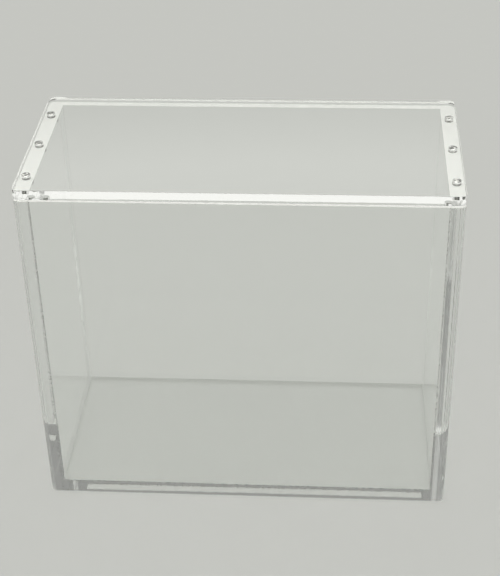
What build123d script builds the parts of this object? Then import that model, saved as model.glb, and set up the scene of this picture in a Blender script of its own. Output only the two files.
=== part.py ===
"""Clear display case for a boxed card set: an open-topped acrylic body and a lift-off lid held by magnets.

Millimetres, +Z up, +X along the width. The origin is on the table, under the middle of the case.
The front faces -Y. Each piece of the real case is one solid in a STEP file of its own.
"""
from build123d import *

import os

# Outside of the closed case.
case_width = 210.0
case_depth = 98.0
case_height = 186.0
corner_radius = 3.0
edge_break = 0.2

# Cast sheet thicknesses.
lid_thickness = 4.9
base_thickness = 6.0
face_panel_thickness = 4.0
end_wall_thickness = 7.5

# Disc magnets, in rows along the lid's two ends and along the top of each end wall. Each stands a little
# out of its bore, so the lid rests on the magnets and a narrow gap runs all round under it.
magnet_diameter = 4.0
magnet_height = 3.0
magnet_stand_out = 0.5
magnet_end_margin = 17.0
magnet_positions = {"front": -1, "middle": 0, "back": 1}

# Fit of a magnet in its bore, on the diameter.
magnet_bore_clearance = 0.2

# Heights and lengths that follow.
lid_underside = case_height - lid_thickness
lid_stand_off = 2 * magnet_stand_out
rim_height = lid_underside - lid_stand_off
inner_width = case_width - 2 * end_wall_thickness
inner_depth = case_depth - 2 * face_panel_thickness
end_wall_centre = (case_width - end_wall_thickness) / 2
face_panel_centre = (case_depth - face_panel_thickness) / 2
magnet_spacing = case_depth / 2 - magnet_end_margin
magnet_bore_radius = (magnet_diameter + magnet_bore_clearance) / 2
magnet_bore_depth = magnet_height - magnet_stand_out
magnet_rows = {"left": -end_wall_centre, "right": end_wall_centre}

from_the_bottom = (Align.CENTER, Align.CENTER, Align.MIN)
from_the_top = (Align.CENTER, Align.CENTER, Align.MAX)


def magnet_places(side):
    """Centres of one end's magnets, seen from above, keyed by front, middle and back."""
    return {
        name: (magnet_rows[side], step * magnet_spacing)
        for name, step in magnet_positions.items()
    }


def write_piece(piece, name):
    """Labels a finished piece and writes it under its own name."""
    piece.part.label = name
    export_step(piece.part, f"parts/{name}.step")


def make_outline_block(bottom, height):
    """The case's outline between two heights: round upright corners, and both flat faces' edges eased."""
    with BuildPart() as block:
        with BuildSketch(Plane.XY.offset(bottom)):
            RectangleRounded(case_width, case_depth, corner_radius)
        extrude(amount=height)
        flat_faces = block.faces().sort_by(Axis.Z)
        chamfer(flat_faces[0].edges() + flat_faces[-1].edges(), edge_break)
    return block


def make_face_panel(centre_y):
    """Front or back panel: full width, its two outer upright edges rounded with the case."""
    with BuildPart() as panel:
        with Locations((0, centre_y, 0)):
            Box(case_width, face_panel_thickness, rim_height, align=from_the_bottom)
        add(body_outline.part, mode=Mode.INTERSECT)
    return panel


def make_end_wall(side):
    """End wall between the face panels, with blind magnet bores down into its top edge."""
    with BuildPart() as wall:
        with Locations((magnet_rows[side], 0, 0)):
            Box(end_wall_thickness, inner_depth, rim_height, align=from_the_bottom)
        add(body_outline.part, mode=Mode.INTERSECT)
        for x, y in magnet_places(side).values():
            with Locations((x, y, rim_height)):
                Cylinder(magnet_bore_radius, magnet_bore_depth, align=from_the_top, mode=Mode.SUBTRACT)
    return wall


def make_magnet(centre, bottom):
    """One plated disc magnet standing at a height."""
    with BuildPart() as magnet:
        with Locations((*centre, bottom)):
            Cylinder(magnet_diameter / 2, magnet_height, align=from_the_bottom)
    return magnet


os.makedirs("parts", exist_ok=True)

# The body: four walls standing on the table round an inset base, all bonded edge to face.
body_outline = make_outline_block(0, rim_height)
write_piece(make_face_panel(-face_panel_centre), "front_panel")
write_piece(make_face_panel(face_panel_centre), "back_panel")
for side in magnet_rows:
    write_piece(make_end_wall(side), f"{side}_end_wall")

with BuildPart() as base_plate:
    Box(inner_width, inner_depth, base_thickness, align=from_the_bottom)
write_piece(base_plate, "base_plate")

# The lid: one flat plate, flush with the body all round, with bores up into its underside.
lid_outline = make_outline_block(lid_underside, lid_thickness)
with BuildPart() as lid_plate:
    add(lid_outline.part)
    for side in magnet_rows:
        for x, y in magnet_places(side).values():
            with Locations((x, y, lid_underside)):
                Cylinder(magnet_bore_radius, magnet_bore_depth, align=from_the_bottom, mode=Mode.SUBTRACT)
write_piece(lid_plate, "lid_plate")

# The magnets: each one in the lid faces one in the wall below it.
for side in magnet_rows:
    for place, centre in magnet_places(side).items():
        wall_magnet = make_magnet(centre, rim_height - magnet_bore_depth)
        write_piece(wall_magnet, f"wall_magnet_{side}_{place}")
        lid_magnet = make_magnet(centre, lid_underside - magnet_stand_out)
        write_piece(lid_magnet, f"lid_magnet_{side}_{place}")
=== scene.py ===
"""Looks of a clear display case: bonded acrylic panels, a loose lid and plated disc magnets.

A panel is a loop of points seen from above, carried up through levels of a height and an inset.
A magnet is a profile carried round an upright axis. Lengths are metres, +Z up, front towards -Y.
"""
import math

import bmesh
import bpy
import numpy as np
from bpy.props import FloatProperty, FloatVectorProperty, IntProperty, PointerProperty
from mathutils import Matrix, Vector


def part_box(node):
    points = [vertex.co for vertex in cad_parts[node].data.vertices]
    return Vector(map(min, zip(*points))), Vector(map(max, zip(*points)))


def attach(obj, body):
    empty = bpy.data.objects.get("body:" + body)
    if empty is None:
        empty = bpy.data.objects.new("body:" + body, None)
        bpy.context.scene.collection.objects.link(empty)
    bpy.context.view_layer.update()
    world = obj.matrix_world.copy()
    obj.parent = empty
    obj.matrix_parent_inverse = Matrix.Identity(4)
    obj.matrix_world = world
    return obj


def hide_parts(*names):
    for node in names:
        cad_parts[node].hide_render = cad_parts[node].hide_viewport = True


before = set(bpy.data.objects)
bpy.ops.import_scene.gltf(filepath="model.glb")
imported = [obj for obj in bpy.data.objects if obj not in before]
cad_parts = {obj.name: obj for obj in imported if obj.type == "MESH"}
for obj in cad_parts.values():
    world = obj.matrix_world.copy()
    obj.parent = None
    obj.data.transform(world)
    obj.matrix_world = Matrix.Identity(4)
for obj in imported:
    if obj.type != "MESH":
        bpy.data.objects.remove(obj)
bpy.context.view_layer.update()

bl_info = {
    "name": "Clear display case",
    "version": (1, 0, 0),
    "blender": (4, 5, 0),
    "location": "View3D > Sidebar > Display case",
    "description": "Builds the panels, lid and magnets of a clear acrylic display case and its studio",
    "category": "Object",
}

SIDES = ("left", "right")
PLACES = ("front", "middle", "back")

# Material slots of every acrylic piece.
POLISHED, SAWN, BONDED, SEAM = 0, 1, 2, 3
ACRYLIC_FINISHES = ("polished_acrylic", "sawn_acrylic", "solvent_bond", "bubbly_seam")

# Metres below which two places are one: as worked out here, and as points of a finished mesh.
TOUCH = 1e-9
MERGE_DISTANCE = 1e-7

# The darker patches of the satin rim and of the paper, as a share of their colour.
SAWN_SHADE = 0.94
PAPER_SHADE = 0.97

# Degrees above the horizon, and the property that gives the studio's light there.
BELTS = (
    (0, "wall_level"), (26, "wall_level"), (28.7, "strip_level"), (34, "strip_level"),
    (37, "gap_level"), (52, "gap_level"), (60, "overhead_level"), (90, "overhead_level"),
)

# Pitch, yaw and roll are degrees, lens and film width are millimetres.
CAMERA_PLACE = (0.0470, -0.5823, 0.4953)
CAMERA_PITCH, CAMERA_YAW, CAMERA_ROLL = 34.03, 4.49, 1.445
CAMERA_LENS, CAMERA_FILM = 84.28, 36.0
CAMERA_NEAR, CAMERA_FAR = 0.01, 50.0
LIGHT_BOUNCES = 96


# ---------------------------------------------------------------- sizes and colours a user may change


class CaseSizes(bpy.types.PropertyGroup):
    """Sizes that the frame's boxes don't give."""

    corner_radius: FloatProperty(
        name="Corner radius", description="Round of the case's upright corners",
        default=0.003, unit="LENGTH",
    )
    edge_ease: FloatProperty(
        name="Edge ease", description="Quarter round along every outer edge",
        default=0.0001, unit="LENGTH",
    )
    bore_clearance: FloatProperty(
        name="Bore clearance", description="How much wider a bore is than its magnet",
        default=0.0002, unit="LENGTH",
    )
    bore_hairline: FloatProperty(
        name="Bore hairline", description="Air between a magnet and its bore's floor",
        default=0.00004, unit="LENGTH",
    )
    magnet_round: FloatProperty(
        name="Magnet round", description="Quarter round of a magnet's two rims",
        default=0.0003, unit="LENGTH",
    )
    seam_width: FloatProperty(
        name="Seam width", description="Width of the bubbly inner edge of a welded joint",
        default=0.0007, unit="LENGTH",
    )
    corner_steps: IntProperty(
        name="Corner steps", description="Faces round an upright corner", default=16
    )
    ease_steps: IntProperty(name="Ease steps", description="Faces across an eased edge", default=4)
    bore_steps: IntProperty(
        name="Bore steps", description="Points on each side of a bored cell", default=20
    )
    magnet_steps: IntProperty(name="Magnet steps", description="Faces round a magnet", default=96)


class CaseLook(bpy.types.PropertyGroup):
    """Finishes of the acrylic and of the magnets, and the shade painted on the magnets."""

    acrylic_tint: FloatVectorProperty(
        name="Acrylic tint", description="Colour of light that crosses a face", subtype="COLOR",
        default=(0.985, 0.992, 0.985), min=0, max=1,
    )
    acrylic_ior: FloatProperty(
        name="Acrylic index", description="Refractive index of the sheet", default=1.49
    )
    bond_tint: FloatVectorProperty(
        name="Bond tint", description="Colour of light that crosses a welded joint", subtype="COLOR",
        default=(0.983, 0.986, 0.983), min=0, max=1,
    )
    bubble_colour: FloatVectorProperty(
        name="Seam bubbles", description="Colour of the fine bubbles along a joint's inner edge",
        subtype="COLOR", default=(0.4, 0.4, 0.39), min=0, max=1,
    )
    sawn_colour: FloatVectorProperty(
        name="Sawn edge", description="Colour of the satin rim under the lid", subtype="COLOR",
        default=(0.97, 0.972, 0.955), min=0, max=1,
    )
    sawn_passing: FloatProperty(
        name="Sawn passing", description="Share of the light that the satin rim lets through",
        default=0.3,
    )
    nickel_colour: FloatVectorProperty(
        name="Nickel", description="Colour of the magnets' plating", subtype="COLOR",
        default=(0.94, 0.935, 0.91), min=0, max=1,
    )
    # Painted shade: near-black blotches drawn on the magnets' faces, standing in for the shade round
    # the magnets.
    shade_blotch_colour: FloatVectorProperty(
        name="Glue marks", description="Colour of the plating under patches of glue", subtype="COLOR",
        default=(0.07, 0.07, 0.066), min=0, max=1,
    )
    # Painted shade: the magnets' upright sides take this dark colour, standing in for the shade inside
    # their bores.
    bore_shade_colour: FloatVectorProperty(
        name="Magnet sides", description="Colour of the plating inside a bore", subtype="COLOR",
        default=(0.32, 0.32, 0.305), min=0, max=1,
    )


class StudioLook(bpy.types.PropertyGroup):
    """The floor, and the light level of each belt of the studio."""

    floor_colour: FloatVectorProperty(
        name="Floor", description="Colour of the paper floor", subtype="COLOR",
        default=(0.515, 0.52, 0.508), min=0, max=1,
    )
    floor_glow: FloatVectorProperty(
        name="Floor glow", description="Light that the open floor sends back", subtype="COLOR",
        default=(0.558, 0.565, 0.533), min=0, max=1,
    )
    shadow_fill: FloatProperty(
        name="Shadow fill", description="Share of the floor that its shadows leave lit",
        default=0.5, min=0, max=1,
    )
    floor_size: FloatProperty(
        name="Floor size", description="Width of the floor", default=8.0, unit="LENGTH"
    )
    floor_drop: FloatProperty(
        name="Floor drop", description="Hairline of air under the case",
        default=0.0003, unit="LENGTH",
    )
    light_colour: FloatVectorProperty(
        name="Light", description="Colour of the studio's light", subtype="COLOR",
        default=(1.0, 1.0, 0.965), min=0, max=1,
    )
    wall_level: FloatProperty(name="Walls", description="Light of the pale walls", default=0.57)
    strip_level: FloatProperty(
        name="Strip", description="Light of the bright belt over the walls", default=0.97
    )
    gap_level: FloatProperty(
        name="Gap", description="Light of the dim belt under the overhead light", default=0.31
    )
    overhead_level: FloatProperty(
        name="Overhead", description="Light of the wide light overhead", default=2.4
    )


# ---------------------------------------------------------------- shader maths


class Value:
    """An output socket of a node tree. Arithmetic on it adds Math nodes, node() adds any other."""

    def __init__(self, tree, socket=None):
        self.tree = tree
        self.socket = socket

    def node(self, kind, settings=None, inputs=None, output=0):
        """Adds a node, gives it its settings and its values or links, and returns one output."""
        made = self.tree.nodes.new(kind)
        for name, value in (settings or {}).items():
            if name == "stops":
                self.fill_ramp(made.color_ramp, value)
            else:
                setattr(made, name, value)
        for key, value in (inputs or {}).items():
            if isinstance(value, Value):
                self.tree.links.new(value.socket, made.inputs[key])
            else:
                made.inputs[key].default_value = value
        return Value(self.tree, made.outputs[output]) if len(made.outputs) else made

    @staticmethod
    def fill_ramp(colours, stops):
        """Gives a colour ramp these stops, each a place and a grey level or a colour."""
        while len(colours.elements) < len(stops):
            colours.elements.new(0.5)
        for element, (place, level) in zip(colours.elements, stops):
            element.position = place
            element.color = opaque(level if isinstance(level, tuple) else (level, level, level))

    def math(self, operation, *terms):
        return self.node("ShaderNodeMath", {"operation": operation}, dict(enumerate(terms)))

    def __add__(self, other):
        return self.math("ADD", self, other)

    __radd__ = __add__

    def __mul__(self, other):
        return self.math("MULTIPLY", self, other)

    def __truediv__(self, other):
        return self.math("DIVIDE", self, other)


def new_tree(name):
    """An empty material and the start of its node tree."""
    material = bpy.data.materials.new(name)
    material.use_nodes = True
    material.node_tree.nodes.clear()
    return material, Value(material.node_tree)


def give_surface(start, shader):
    """Ends a material's tree in its output node."""
    start.node("ShaderNodeOutputMaterial", None, {"Surface": shader})


def noise(start, scale, detail):
    """Cloudy noise that stays on the piece, with five times the scale in clouds to the metre."""
    place = start.node("ShaderNodeTexCoord", output="Object")
    scaled = start.node("ShaderNodeMapping", None, {"Vector": place, "Scale": scale})
    return start.node("ShaderNodeTexNoise", None, {"Vector": scaled, "Detail": detail})


def ramp(start, value, stops):
    """Grey levels or colours along a value from 0 to 1."""
    return start.node("ShaderNodeValToRGB", {"stops": stops}, {"Fac": value})


def bumped(start, height, strength, distance):
    """A normal tilted by the slopes of a height."""
    inputs = {"Height": height, "Strength": strength, "Distance": distance}
    return start.node("ShaderNodeBump", None, inputs)


def opaque(colour):
    return (*colour, 1.0)


def mixed_colour(start, share, first, second):
    """From the first colour to the second as the share rises, by the node's colour sockets."""
    inputs = {0: share, 6: first, 7: second}
    return start.node("ShaderNodeMix", {"data_type": "RGBA"}, inputs, output=2)


def mixed_shader(start, share, first, second):
    return start.node("ShaderNodeMixShader", None, {0: share, 1: first, 2: second})


# ---------------------------------------------------------------- finishes


def polished_acrylic(look):
    """Clear cast sheet: flat but for a trace of swell from casting, with wipe marks in its gloss."""
    material, start = new_tree("polished_acrylic")
    swell = noise(start, scale=(30, 30, 30), detail=1.0)
    wipes = noise(start, scale=(60, 60, 9), detail=4.0)
    give_surface(start, start.node("ShaderNodeBsdfPrincipled", None, {
        "Base Color": opaque(look.acrylic_tint),
        "Roughness": wipes * 0.01,
        "IOR": look.acrylic_ior,
        "Transmission Weight": 1.0,
        "Normal": bumped(start, swell, strength=0.004, distance=0.0005),
    }))
    return material


def sawn_acrylic(look):
    """The satin top edge of a wall, as the saw leaves it: white, with fine cross marks."""
    material, start = new_tree("sawn_acrylic")
    marks = noise(start, scale=(2500, 2500, 100), detail=2.0)
    shade = noise(start, scale=(40, 40, 40), detail=2.0)
    bright = opaque(look.sawn_colour)
    dull = opaque(SAWN_SHADE * channel for channel in look.sawn_colour)
    bump = bumped(start, marks, strength=0.3, distance=0.00005)
    sheen = start.node("ShaderNodeBsdfPrincipled", None, {
        "Base Color": mixed_colour(start, shade, bright, dull),
        "Roughness": 0.45 + marks * 0.2,
        "IOR": look.acrylic_ior,
        "Normal": bump,
    })
    through = start.node("ShaderNodeBsdfTranslucent", None, {"Color": bright, "Normal": bump})
    give_surface(start, mixed_shader(start, look.sawn_passing, sheen, through))
    return material


def welded(start, look):
    """The sheet runs on through a weld, with a little loss of light."""
    return start.node("ShaderNodeBsdfTransparent", None, {"Color": opaque(look.bond_tint)})


def solvent_bond(look):
    """Where two panels are welded face to face."""
    material, start = new_tree("solvent_bond")
    give_surface(start, welded(start, look))
    return material


def bubbly_seam(look):
    """The inner edge of a welded joint, where fine bubbles stay in the cement."""
    material, start = new_tree("bubbly_seam")
    clouds = noise(start, scale=(160, 160, 160), detail=3.0)
    share = ramp(start, clouds, [(0.42, 0.15), (0.6, 0.75)])
    bubbles = start.node("ShaderNodeBsdfPrincipled", None, {
        "Base Color": opaque(look.bubble_colour), "Roughness": 0.6,
    })
    give_surface(start, mixed_shader(start, share, welded(start, look), bubbles))
    return material


def nickel_plating(look):
    """Nickel on a pressed magnet: bright flat faces with painted near-black blotches of shade, and
    sides painted dark as shade in the bores.
    """
    material, start = new_tree("nickel_plating")
    scuffs = noise(start, scale=(900, 900, 900), detail=5.0)
    # Painted shade: this noise places the near-black blotches on the plating, and it also bumps the
    # faces.
    shade_blotch_noise = noise(start, scale=(120, 160, 120), detail=1.0)
    marks = ramp(start, shade_blotch_noise, [(0.48, 0.0), (0.51, 1.0)])
    # Painted shade: upright faces, the magnets' sides, are drawn in the dark side colour as shade
    # inside the bores.
    facing = start.node("ShaderNodeNewGeometry", output="Normal")
    up = start.node("ShaderNodeSeparateXYZ", None, {"Vector": facing}, output="Z")
    side = ramp(start, up.math("ABSOLUTE", up), [(0.2, 1.0), (0.8, 0.0)])
    shade_blotched = mixed_colour(start, marks, opaque(look.nickel_colour), opaque(look.shade_blotch_colour))
    give_surface(start, start.node("ShaderNodeBsdfPrincipled", None, {
        "Base Color": mixed_colour(start, side, shade_blotched, opaque(look.bore_shade_colour)),
        "Metallic": 1.0,
        "Roughness": 0.05 + scuffs * 0.1,
        "Normal": bumped(start, shade_blotch_noise, strength=1.0, distance=0.00005),
    }))
    return material


FINISH_MAKERS = {
    "polished_acrylic": polished_acrylic,
    "sawn_acrylic": sawn_acrylic,
    "solvent_bond": solvent_bond,
    "bubbly_seam": bubbly_seam,
    "nickel_plating": nickel_plating,
}


def finish_named(name):
    """A finish, made once and shared by every piece that has it."""
    look = bpy.context.scene.display_case_look
    return bpy.data.materials.get(name) or FINISH_MAKERS[name](look)


# ---------------------------------------------------------------- closed surfaces


class Skin:
    """One closed piece in patches, each a grid or a flat face, with its finish and shading."""

    def __init__(self):
        self.points = []
        self.faces = []
        self.finishes = []
        self.smooth = []
        self.count = 0

    def add_points(self, points):
        first = self.count
        self.points.append(points.reshape(-1, 3))
        self.count += len(self.points[-1])
        return first

    def add_grid(self, rows, finish=POLISHED, smooth=False, closed=True):
        """Quads between neighbouring rows and columns.

        finish and smooth are one value, or one for each quad.
        """
        height, width = rows.shape[:2]
        index = self.add_points(rows) + np.arange(height * width).reshape(height, width)
        along = np.roll(index, -1, axis=1) if closed else index[:, 1:]
        index = index if closed else index[:, :-1]
        quads = np.stack([index[:-1], along[:-1], along[1:], index[1:]], axis=-1)
        self.faces += quads.reshape(-1, 4).tolist()
        self.finishes += np.broadcast_to(finish, quads.shape[:2]).ravel().tolist()
        self.smooth += np.broadcast_to(smooth, quads.shape[:2]).ravel().tolist()

    def add_face(self, loop, finish=POLISHED):
        """One flat face round a loop of points."""
        first = self.add_points(loop)
        self.faces.append(list(range(first, first + len(loop))))
        self.finishes.append(finish)
        self.smooth.append(False)

    def make_piece(self, name, finishes):
        """Joins the patches into one closed mesh with its faces outward."""
        mesh = bpy.data.meshes.new(name)
        mesh.from_pydata(np.concatenate(self.points).tolist(), [], self.faces)
        mesh.polygons.foreach_set("material_index", self.finishes)
        mesh.polygons.foreach_set("use_smooth", self.smooth)
        for finish in finishes:
            mesh.materials.append(finish_named(finish))
        work = bmesh.new()
        work.from_mesh(mesh)
        bmesh.ops.remove_doubles(work, verts=work.verts, dist=MERGE_DISTANCE)
        bmesh.ops.recalc_face_normals(work, faces=work.faces)
        if not all(edge.is_manifold for edge in work.edges):
            raise RuntimeError(f"{name} isn't closed")
        for edge in work.edges:
            edge.smooth = all(face.smooth for face in edge.link_faces)
        work.to_mesh(mesh)
        work.free()
        piece = bpy.data.objects.new(name, mesh)
        bpy.context.scene.collection.objects.link(piece)
        return piece


def place_piece(piece, body, nodes):
    """The piece rides on its body and stands for its CAD nodes, which are hidden."""
    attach(piece, body)
    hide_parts(*nodes)


def eased_levels(bottom, top, sizes, between=()):
    """Rows of height and inset from bottom to top, with a quarter round at both edges.

    On the lower round, height = bottom + ease (1 - cos turn) and inset = ease (1 - sin turn),
    for turn from 0 to a quarter; the upper round is its mirror image.
    """
    turn = np.linspace(0, math.pi / 2, sizes.ease_steps + 1)
    rise = sizes.edge_ease * (1 - np.cos(turn))
    inset = sizes.edge_ease * (1 - np.sin(turn))
    low = np.stack([bottom + rise, inset], axis=1)
    high = np.stack([top - rise, inset], axis=1)[::-1]
    middle = np.array([[height, 0.0] for height in between]).reshape(-1, 2)
    return np.concatenate([low, middle, high])


def carry_up(points, outward, levels):
    """Row k is the loop at levels[k]: each point moved inward by the inset, at that height."""
    plan = points[None] - levels[:, 1, None, None] * outward[None]
    height = np.broadcast_to(levels[:, 0, None, None], (*plan.shape[:2], 1))
    return np.concatenate([plan, height], axis=2)


def corner(centre, radius, start, steps):
    """A quarter of a circle from angle start: points, and the outward direction at each."""
    turn = start + np.linspace(0, math.pi / 2, steps + 1)
    outward = np.stack([np.cos(turn), np.sin(turn)], axis=1)
    return np.array(centre) + radius * outward, outward


def fanned(low, high, distance, steps):
    """Places along a line at a distance from a centre, both ends in.

    The angle seen from the centre runs evenly from atan(low / distance) to atan(high / distance),
    and place = distance tan(angle).
    """
    turn = np.linspace(math.atan2(low, distance), math.atan2(high, distance), steps + 1)
    places = distance * np.tan(turn)
    places[0], places[-1] = low, high
    return places


def on_circle(loop, centre, radius):
    """Each point of a loop drawn straight towards a centre until it meets a circle."""
    spoke = loop - centre
    return centre + radius * spoke / np.linalg.norm(spoke, axis=1, keepdims=True)


def lift(plan, height):
    """Plan points at one height."""
    return np.column_stack([plan, np.full(len(plan), height)])


def add_bore(skin, loop, centre, radius, face_height, floor_height, ease, finish):
    """A flat cell with a blind bore: from its loop to the bore's mouth, then wall and floor."""
    mouth = lift(on_circle(loop, centre, radius + ease), face_height)
    inward = math.copysign(ease, floor_height - face_height)
    throat = lift(on_circle(loop, centre, radius), face_height + inward)
    heel = lift(on_circle(loop, centre, radius), floor_height)
    skin.add_grid(np.stack([lift(loop, face_height), mouth]), finish)
    skin.add_grid(np.stack([mouth, throat]))
    skin.add_grid(np.stack([throat, heel]), smooth=True)
    skin.add_face(heel)


# ---------------------------------------------------------------- pieces


def face_panel(side_sign, node, sizes):
    """Front (-1) or back (1) panel, its loop drawn round the outside from one end to the other.

    In plan: the case's rounded outline as far as the bond plane, then back along the bond plane,
    where the stretches against the end walls and under the base's top are welded.
    """
    low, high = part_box(node)
    base_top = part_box("base_plate")[1].z
    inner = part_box("right_end_wall")[0].x
    bond = (high if side_sign < 0 else low).y
    outer = (low if side_sign < 0 else high).y
    reach = high.x
    radius = sizes.corner_radius
    arc_y = outer - side_sign * radius
    steps = sizes.corner_steps
    first, first_out = corner((-reach + radius, -arc_y * side_sign), radius, math.pi, steps)
    last, last_out = corner((reach - radius, -arc_y * side_sign), radius, 1.5 * math.pi, steps)
    ends = np.array([[reach, -bond * side_sign], [-reach, -bond * side_sign]])
    walls = np.array([[inner, -bond * side_sign], [-inner, -bond * side_sign]])
    points = np.concatenate([first, last, ends[:1], walls, ends[1:]])
    outward = np.concatenate([first_out, last_out, [[1, 0]], np.zeros((2, 2)), [[-1, 0]]])
    points[:, 1] *= -side_sign
    outward[:, 1] *= -side_sign
    levels = eased_levels(low.z, high.z, sizes, [base_top])
    rows = carry_up(points, outward, levels)
    skin = Skin()
    columns = len(points)
    heights = levels[1:, 0]
    finish = np.full((len(levels) - 1, columns), POLISHED)
    # The bond plane's three stretches: against one end wall, between the walls, against the other.
    one_weld, between, other_weld = range(columns - 4, columns - 1)
    finish[:, [one_weld, other_weld]] = BONDED
    finish[heights < base_top + sizes.edge_ease / 2, between] = BONDED
    smooth = np.zeros_like(finish, dtype=bool)
    smooth[:, :steps] = True
    smooth[:, steps + 1:2 * steps + 1] = True
    smooth[:sizes.ease_steps, :one_weld] = True
    smooth[-sizes.ease_steps:, :one_weld] = True
    skin.add_grid(rows, finish, smooth)
    skin.add_face(rows[0])
    skin.add_face(rows[-1], SAWN)
    return skin


class BoreRow:
    """The bores for one row of magnets, and the cells round them in the face that they open in."""

    def __init__(self, part, side, sizes):
        boxes = [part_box(f"{part}_magnet_{side}_{place}") for place in PLACES]
        self.low, self.high = boxes[0]
        self.centres = [((low + high) / 2).y for low, high in boxes]
        self.radius = (self.high.x - self.low.x + sizes.bore_clearance) / 2

    def cell_edges(self, low_y, high_y):
        """Both ends of the face, and the places halfway between neighbouring bores."""
        between = [(one + other) / 2 for one, other in zip(self.centres[:-1], self.centres[1:])]
        return np.array([low_y, *between, high_y])

    def cells(self, low_y, high_y):
        """The low end, high end and centre of each cell."""
        edges = self.cell_edges(low_y, high_y)
        return list(zip(edges[:-1], edges[1:], self.centres))

    def stations(self, low_y, high_y, distance, steps):
        """Places along a straight side, fanned out from each bore's centre in its own cell."""
        parts = [
            centre + fanned(low - centre, high - centre, distance, steps)[:-1]
            for low, high, centre in self.cells(low_y, high_y)
        ]
        return np.concatenate([*parts, self.cell_edges(low_y, high_y)[-1:]])


def end_wall(side, sizes):
    """End wall, welded to the face panels at both ends and to the base, with bores in its top."""
    sign = -1 if side == "left" else 1
    low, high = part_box(f"{side}_end_wall")
    base_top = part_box("base_plate")[1].z
    bores = BoreRow("wall", side, sizes)
    inner = min(abs(low.x), abs(high.x))
    outer = max(abs(low.x), abs(high.x))
    centre_x = (inner + outer) / 2
    half = (outer - inner) / 2
    rim_outer = outer - sizes.edge_ease
    along = bores.stations(low.y, high.y, half, sizes.bore_steps)

    def places_across(distance):
        fan = fanned(-half, rim_outer - centre_x, distance, sizes.ease_steps)[1:-1]
        return np.concatenate([[inner + sizes.seam_width], fan + centre_x])

    across = places_across(bores.centres[0] - low.y)
    outer_side = np.column_stack([np.full(len(along), outer), along])
    inner_side = np.column_stack([np.full(len(along), inner), along[::-1]])
    back_end = np.column_stack([across[::-1], np.full(len(across), high.y)])
    front_end = np.column_stack([across, np.full(len(across), low.y)])
    points = np.concatenate([outer_side, back_end, inner_side, front_end])
    outward = np.zeros_like(points)
    outward[:len(along), 0] = 1
    levels = eased_levels(low.z, high.z, sizes, [base_top])
    rows = carry_up(points, outward, levels)
    columns = len(points)
    finish = np.full((len(levels) - 1, columns), POLISHED)
    back_seam = len(along) + len(across) - 1
    front_seam = columns - len(across) - 1
    finish[:, len(along) - 1:back_seam + 1] = BONDED
    finish[:, front_seam:] = BONDED
    against_base = levels[1:, 0] < base_top + sizes.edge_ease / 2
    finish[against_base, back_seam + 1:front_seam] = BONDED
    finish[~against_base, back_seam] = SEAM
    finish[~against_base, front_seam] = SEAM
    smooth = np.zeros_like(finish, dtype=bool)
    smooth[:sizes.ease_steps, :len(along) - 1] = True
    smooth[-sizes.ease_steps:, :len(along) - 1] = True
    skin = Skin()
    flip = np.array([sign, 1, 1])
    skin.add_grid(rows * flip, finish, smooth)
    skin.add_face(rows[0] * flip)
    floor_height = bores.low.z - sizes.bore_hairline
    for low_y, high_y, centre_y in bores.cells(low.y, high.y):
        own = (along >= low_y - TOUCH) & (along <= high_y + TOUCH)
        side_y = along[own]
        low_x = places_across(centre_y - low_y)
        high_x = places_across(high_y - centre_y)
        loop = np.concatenate([
            np.column_stack([np.full(len(side_y), rim_outer), side_y]),
            np.column_stack([high_x[::-1], np.full(len(across), high_y)]),
            np.column_stack([np.full(len(side_y), inner), side_y[::-1]]),
            np.column_stack([low_x, np.full(len(across), low_y)]),
        ]) * flip[:2]
        centre = np.array([centre_x * sign, centre_y])
        add_bore(skin, loop, centre, bores.radius, high.z, floor_height, sizes.edge_ease / 2, SAWN)
    return skin


def base_plate(sizes):
    """Floor plate, welded to the four walls round its edges."""
    low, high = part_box("base_plate")
    points = np.array([[low.x, low.y], [high.x, low.y], [high.x, high.y], [low.x, high.y]])
    levels = np.array([[low.z, 0.0], [high.z - sizes.seam_width, 0.0], [high.z, 0.0]])
    rows = carry_up(points, np.zeros((4, 2)), levels)
    skin = Skin()
    skin.add_grid(rows, np.array([[BONDED], [SEAM]]))
    skin.add_face(rows[0])
    skin.add_face(rows[-1])
    return skin


def lid_outline(high, inner, along, sizes):
    """The lid's plan and its outward directions, anticlockwise from the right-hand side.

    The right and back sides are worked out, and half a turn about Z gives the left and front ones.
    """
    radius = sizes.corner_radius
    centre = (high.x - radius, high.y - radius)
    quarter, quarter_out = corner(centre, radius, 0.0, sizes.corner_steps)
    right = np.column_stack([np.full(len(along) - 2, high.x), along[1:-1]])
    right_out = np.tile([1.0, 0.0], (len(right), 1))
    back = np.array([[inner, high.y], [-inner, high.y]])
    back_out = np.array([[0.0, 1.0], [0.0, 1.0]])
    mirror = np.array([-1.0, 1.0])
    points = np.concatenate([right, quarter, back, (quarter * mirror)[::-1]])
    outward = np.concatenate([right_out, quarter_out, back_out, (quarter_out * mirror)[::-1]])
    return np.concatenate([points, -points]), np.concatenate([outward, -outward])


def lid_plate(sizes):
    """The lid: the whole rounded outline, eased top and bottom, with bores up into its underside.

    The outline's end sides have a point wherever a bored cell of the underside has one, so that
    the patches meet point to point. The row of magnets is its own image after half a turn.
    """
    low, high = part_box("lid_plate")
    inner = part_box("right_end_wall")[0].x
    ease = sizes.edge_ease
    bores = BoreRow("lid", "right", sizes)
    centre_x = ((bores.low + bores.high) / 2).x
    arc_y = high.y - sizes.corner_radius
    along = bores.stations(-arc_y, arc_y, high.x - ease - centre_x, sizes.bore_steps)
    points, outward = lid_outline(high, inner, along, sizes)
    levels = eased_levels(low.z, high.z, sizes)
    rows = carry_up(points, outward, levels)
    skin = Skin()
    smooth = np.zeros((len(levels) - 1, len(points)), dtype=bool)
    smooth[:sizes.ease_steps] = True
    smooth[-sizes.ease_steps:] = True
    slant = np.abs(outward).min(axis=1)
    smooth[:, slant + np.roll(slant, -1) > TOUCH] = True
    skin.add_grid(rows, POLISHED, smooth)
    skin.add_face(rows[-1])
    add_underside(skin, rows[0][:, :2], low.z, high, inner, bores, sizes)
    return skin


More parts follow.
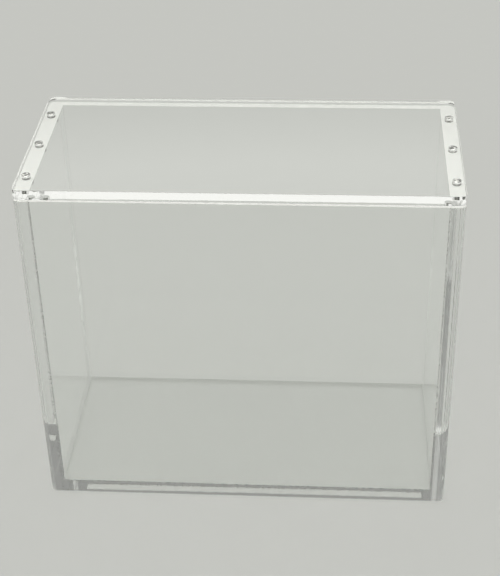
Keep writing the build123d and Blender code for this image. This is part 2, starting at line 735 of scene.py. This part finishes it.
def add_underside(skin, outline, height, reach, inner, bores, sizes):
    """Three bored cells at each end of the lid's underside, and the middle sheet between them."""
    centre_x = ((bores.low + bores.high) / 2).x
    reach_x, reach_y = reach.x - sizes.edge_ease, reach.y - sizes.edge_ease
    floor_height = bores.high.z + sizes.bore_hairline
    nothing = np.empty((0, 2))
    cells = bores.cells(-reach_y, reach_y)
    lines = [
        centre_y + fanned(low_y - centre_y, high_y - centre_y, centre_x - inner, sizes.bore_steps)
        for low_y, high_y, centre_y in cells
    ]
    for sign in (-1, 1):
        for (low_y, high_y, centre_y), line in zip(cells, lines):
            ring = outline[outline[:, 0] * sign > inner - TOUCH]
            ring = ring[(ring[:, 1] > low_y - TOUCH) & (ring[:, 1] < high_y + TOUCH)]
            turn = np.arctan2(ring[:, 1] - centre_y, ring[:, 0] * sign - inner)
            inside = np.column_stack([np.full(len(line), inner * sign), line[::-1]])
            # A cell's edge has points of its own only where it isn't part of the outline.
            shared = [abs(edge_y) < reach_y - TOUCH for edge_y in (low_y, high_y)]
            across = []
            for edge_y, is_shared in zip((low_y, high_y), shared):
                distance = abs(edge_y - centre_y)
                fan = fanned(inner - centre_x, reach_x - centre_x, distance, sizes.ease_steps)
                fan = (fan[1:-1] + centre_x) * sign
                edge = np.column_stack([fan, np.full(len(fan), edge_y)])
                across.append(edge if is_shared else nothing)
            bottom = inside[-1:] if shared[0] else nothing
            top = inside[:1] if shared[1] else nothing
            loop = np.concatenate([
                ring[np.argsort(turn)], across[1][::-1], top, inside[1:-1], bottom, across[0],
            ])
            centre = np.array([centre_x * sign, centre_y])
            ease = sizes.edge_ease / 2
            add_bore(skin, loop, centre, bores.radius, height, floor_height, ease, POLISHED)
    line = np.unique(np.concatenate(lines).round(9))
    right_line = np.column_stack([np.full(len(line), inner), line])
    left_line = np.column_stack([np.full(len(line), -inner), line[::-1]])
    skin.add_face(lift(np.concatenate([right_line, left_line]), height))


def magnet_disc(node, sizes):
    """A disc with rounded rims: its profile of radius and height, carried round an upright axis."""
    low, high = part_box(node)
    centre = (low + high) / 2
    radius = (high.x - low.x) / 2
    soft = sizes.magnet_round
    turn = np.linspace(0, math.pi / 2, sizes.ease_steps + 1)
    reach = radius - soft + soft * np.sin(turn)
    lower = np.stack([reach, low.z + soft - soft * np.cos(turn)], axis=1)
    upper = np.stack([lower[:, 0], low.z + high.z - lower[:, 1]], axis=1)[::-1]
    profile = np.concatenate([lower, upper])
    around = np.linspace(0, 2 * math.pi, sizes.magnet_steps, endpoint=False)
    rows = np.stack([
        centre.x + profile[:, :1] * np.cos(around),
        centre.y + profile[:, :1] * np.sin(around),
        np.broadcast_to(profile[:, 1:], (len(profile), len(around))),
    ], axis=2)
    skin = Skin()
    skin.add_grid(rows, smooth=True)
    skin.add_face(rows[0])
    skin.add_face(rows[-1])
    return skin


# ---------------------------------------------------------------- operators


def add_sheet(skin, node, body):
    """Makes the acrylic piece that stands for a CAD node."""
    piece = skin.make_piece(f"{node}_sheet", ACRYLIC_FINISHES)
    place_piece(piece, body, [node])


class DISPLAY_CASE_OT_face_panels(bpy.types.Operator):
    """Add the front and back panels"""

    bl_idname = "display_case.face_panels"
    bl_label = "Front and back panels"

    def execute(self, context):
        for sign, node in ((-1, "front_panel"), (1, "back_panel")):
            add_sheet(face_panel(sign, node, context.scene.display_case_sizes), node, "case_body")
        return {"FINISHED"}


class DISPLAY_CASE_OT_end_walls(bpy.types.Operator):
    """Add the two end walls with their magnet bores"""

    bl_idname = "display_case.end_walls"
    bl_label = "End walls"

    def execute(self, context):
        for side in SIDES:
            skin = end_wall(side, context.scene.display_case_sizes)
            add_sheet(skin, f"{side}_end_wall", "case_body")
        return {"FINISHED"}


class DISPLAY_CASE_OT_base(bpy.types.Operator):
    """Add the floor plate of the case"""

    bl_idname = "display_case.base"
    bl_label = "Base plate"

    def execute(self, context):
        add_sheet(base_plate(context.scene.display_case_sizes), "base_plate", "case_body")
        return {"FINISHED"}


class DISPLAY_CASE_OT_lid(bpy.types.Operator):
    """Add the lift-off lid with its magnet bores"""

    bl_idname = "display_case.lid"
    bl_label = "Lid"

    def execute(self, context):
        add_sheet(lid_plate(context.scene.display_case_sizes), "lid_plate", "lid")
        return {"FINISHED"}


class DISPLAY_CASE_OT_magnets(bpy.types.Operator):
    """Add the plated disc magnets of the walls and the lid"""

    bl_idname = "display_case.magnets"
    bl_label = "Magnets"

    def execute(self, context):
        for part, body in (("wall", "case_body"), ("lid", "lid")):
            for side in SIDES:
                for place in PLACES:
                    node = f"{part}_magnet_{side}_{place}"
                    skin = magnet_disc(node, context.scene.display_case_sizes)
                    piece = skin.make_piece(f"{node}_disc", ["nickel_plating"])
                    place_piece(piece, body, [node])
        return {"FINISHED"}


class DISPLAY_CASE_OT_studio(bpy.types.Operator):
    """Add the paper floor, the studio's light and the camera"""

    bl_idname = "display_case.studio"
    bl_label = "Studio"

    def execute(self, context):
        look = context.scene.display_case_studio
        add_floor(look)
        light_studio(look)
        add_camera(context.scene)
        let_light_through(context.scene)
        context.scene.view_settings.view_transform = "Standard"
        return {"FINISHED"}


def add_floor(look):
    """A wide sheet of matt paper just under the case, its shadows partly filled.

    The glow goes to the camera, straight or through the case, and lights nothing itself.
    """
    half = look.floor_size / 2
    mesh = bpy.data.meshes.new("paper_floor")
    corners = [(-half, -half), (half, -half), (half, half), (-half, half)]
    mesh.from_pydata([(x, y, -look.floor_drop) for x, y in corners], [], [(0, 1, 2, 3)])
    material, start = new_tree("floor_paper")
    fibre = noise(start, scale=(18, 18, 18), detail=5.0)
    deep = opaque(PAPER_SHADE * channel for channel in look.floor_colour)
    paper = start.node("ShaderNodeBsdfPrincipled", None, {
        "Base Color": mixed_colour(start, fibre, opaque(look.floor_colour), deep),
        "Roughness": 0.9,
        "Specular IOR Level": 0.1,
    })
    seen = start.node("ShaderNodeLightPath", output="Is Camera Ray")
    for kind in ("Is Glossy Ray", "Is Transmission Ray"):
        seen = seen.math("MAXIMUM", seen, start.node("ShaderNodeLightPath", output=kind))
    glow = start.node("ShaderNodeEmission", None, {"Color": opaque(look.floor_glow)})
    give_surface(start, mixed_shader(start, seen * look.shadow_fill, paper, glow))
    mesh.materials.append(material)
    floor = bpy.data.objects.new("paper_floor", mesh)
    bpy.context.scene.collection.objects.link(floor)


def light_studio(look):
    """Light by height above the horizon: pale walls, a bright belt, a dim one, a light overhead."""
    world = bpy.data.worlds.new("studio")
    bpy.context.scene.world = world
    world.use_nodes = True
    world.node_tree.nodes.clear()
    start = Value(world.node_tree)
    direction = start.node("ShaderNodeTexCoord", output="Generated")
    up = start.node("ShaderNodeSeparateXYZ", None, {"Vector": direction}, output="Z")
    height = up.math("ARCSINE", up) / (math.pi / 2)
    top = look.overhead_level
    stops = [
        (angle / 90, tuple(getattr(look, level) / top * channel for channel in look.light_colour))
        for angle, level in BELTS
    ]
    glow = ramp(start, height, stops)
    light = start.node("ShaderNodeBackground", None, {"Color": glow, "Strength": top})
    start.node("ShaderNodeOutputWorld", None, {"Surface": light})


def add_camera(scene):
    """A long lens from above in front: turned left by the yaw, down by the pitch, then rolled."""
    pitch, yaw, roll = (math.radians(angle) for angle in (CAMERA_PITCH, CAMERA_YAW, CAMERA_ROLL))
    forward = Vector((0, math.cos(pitch), -math.sin(pitch)))
    right = Vector((1, 0, 0))
    turn = Matrix.Rotation(yaw, 3, "Z")
    forward, right = turn @ forward, turn @ right
    down = forward.cross(right)
    rolled_right = math.cos(roll) * right + math.sin(roll) * down
    rolled_down = math.cos(roll) * down - math.sin(roll) * right
    camera = bpy.data.cameras.new("camera")
    camera.lens = CAMERA_LENS
    camera.sensor_width = CAMERA_FILM
    camera.clip_start = CAMERA_NEAR
    camera.clip_end = CAMERA_FAR
    seer = bpy.data.objects.new("camera", camera)
    scene.collection.objects.link(seer)
    axes = Matrix((rolled_right, -rolled_down, -forward)).transposed().to_4x4()
    seer.matrix_world = Matrix.Translation(Vector(CAMERA_PLACE)) @ axes
    scene.camera = seer


def let_light_through(scene):
    """Light may turn back inside a sheet many times, and isn't blurred on its way."""
    scene.cycles.blur_glossy = 0.0
    scene.cycles.max_bounces = LIGHT_BOUNCES
    scene.cycles.glossy_bounces = LIGHT_BOUNCES
    scene.cycles.transmission_bounces = LIGHT_BOUNCES
    scene.cycles.transparent_max_bounces = LIGHT_BOUNCES


class DISPLAY_CASE_PT_panel(bpy.types.Panel):
    """Lists the case's sizes, finishes and steps"""

    bl_idname = "DISPLAY_CASE_PT_panel"
    bl_label = "Display case"
    bl_space_type = "VIEW_3D"
    bl_region_type = "UI"
    bl_category = "Display case"

    def draw(self, context):
        for field in GROUPS:
            group = getattr(context.scene, field)
            for name in group.bl_rna.properties.keys():
                if name not in ("rna_type", "name"):
                    self.layout.prop(group, name)
        for step in STEPS:
            self.layout.operator(step.bl_idname)


STEPS = (
    DISPLAY_CASE_OT_face_panels,
    DISPLAY_CASE_OT_end_walls,
    DISPLAY_CASE_OT_base,
    DISPLAY_CASE_OT_lid,
    DISPLAY_CASE_OT_magnets,
    DISPLAY_CASE_OT_studio,
)
GROUPS = {
    "display_case_sizes": CaseSizes,
    "display_case_look": CaseLook,
    "display_case_studio": StudioLook,
}


def register():
    for made in (*GROUPS.values(), *STEPS, DISPLAY_CASE_PT_panel):
        bpy.utils.register_class(made)
    for name, group in GROUPS.items():
        setattr(bpy.types.Scene, name, PointerProperty(type=group))


def unregister():
    for name in GROUPS:
        delattr(bpy.types.Scene, name)
    for made in reversed((*GROUPS.values(), *STEPS, DISPLAY_CASE_PT_panel)):
        bpy.utils.unregister_class(made)


def main():
    """Builds the case and its studio."""
    register()
    for step in STEPS:
        group, name = step.bl_idname.split(".")
        getattr(getattr(bpy.ops, group), name)()


if __name__ == "__main__":
    main()
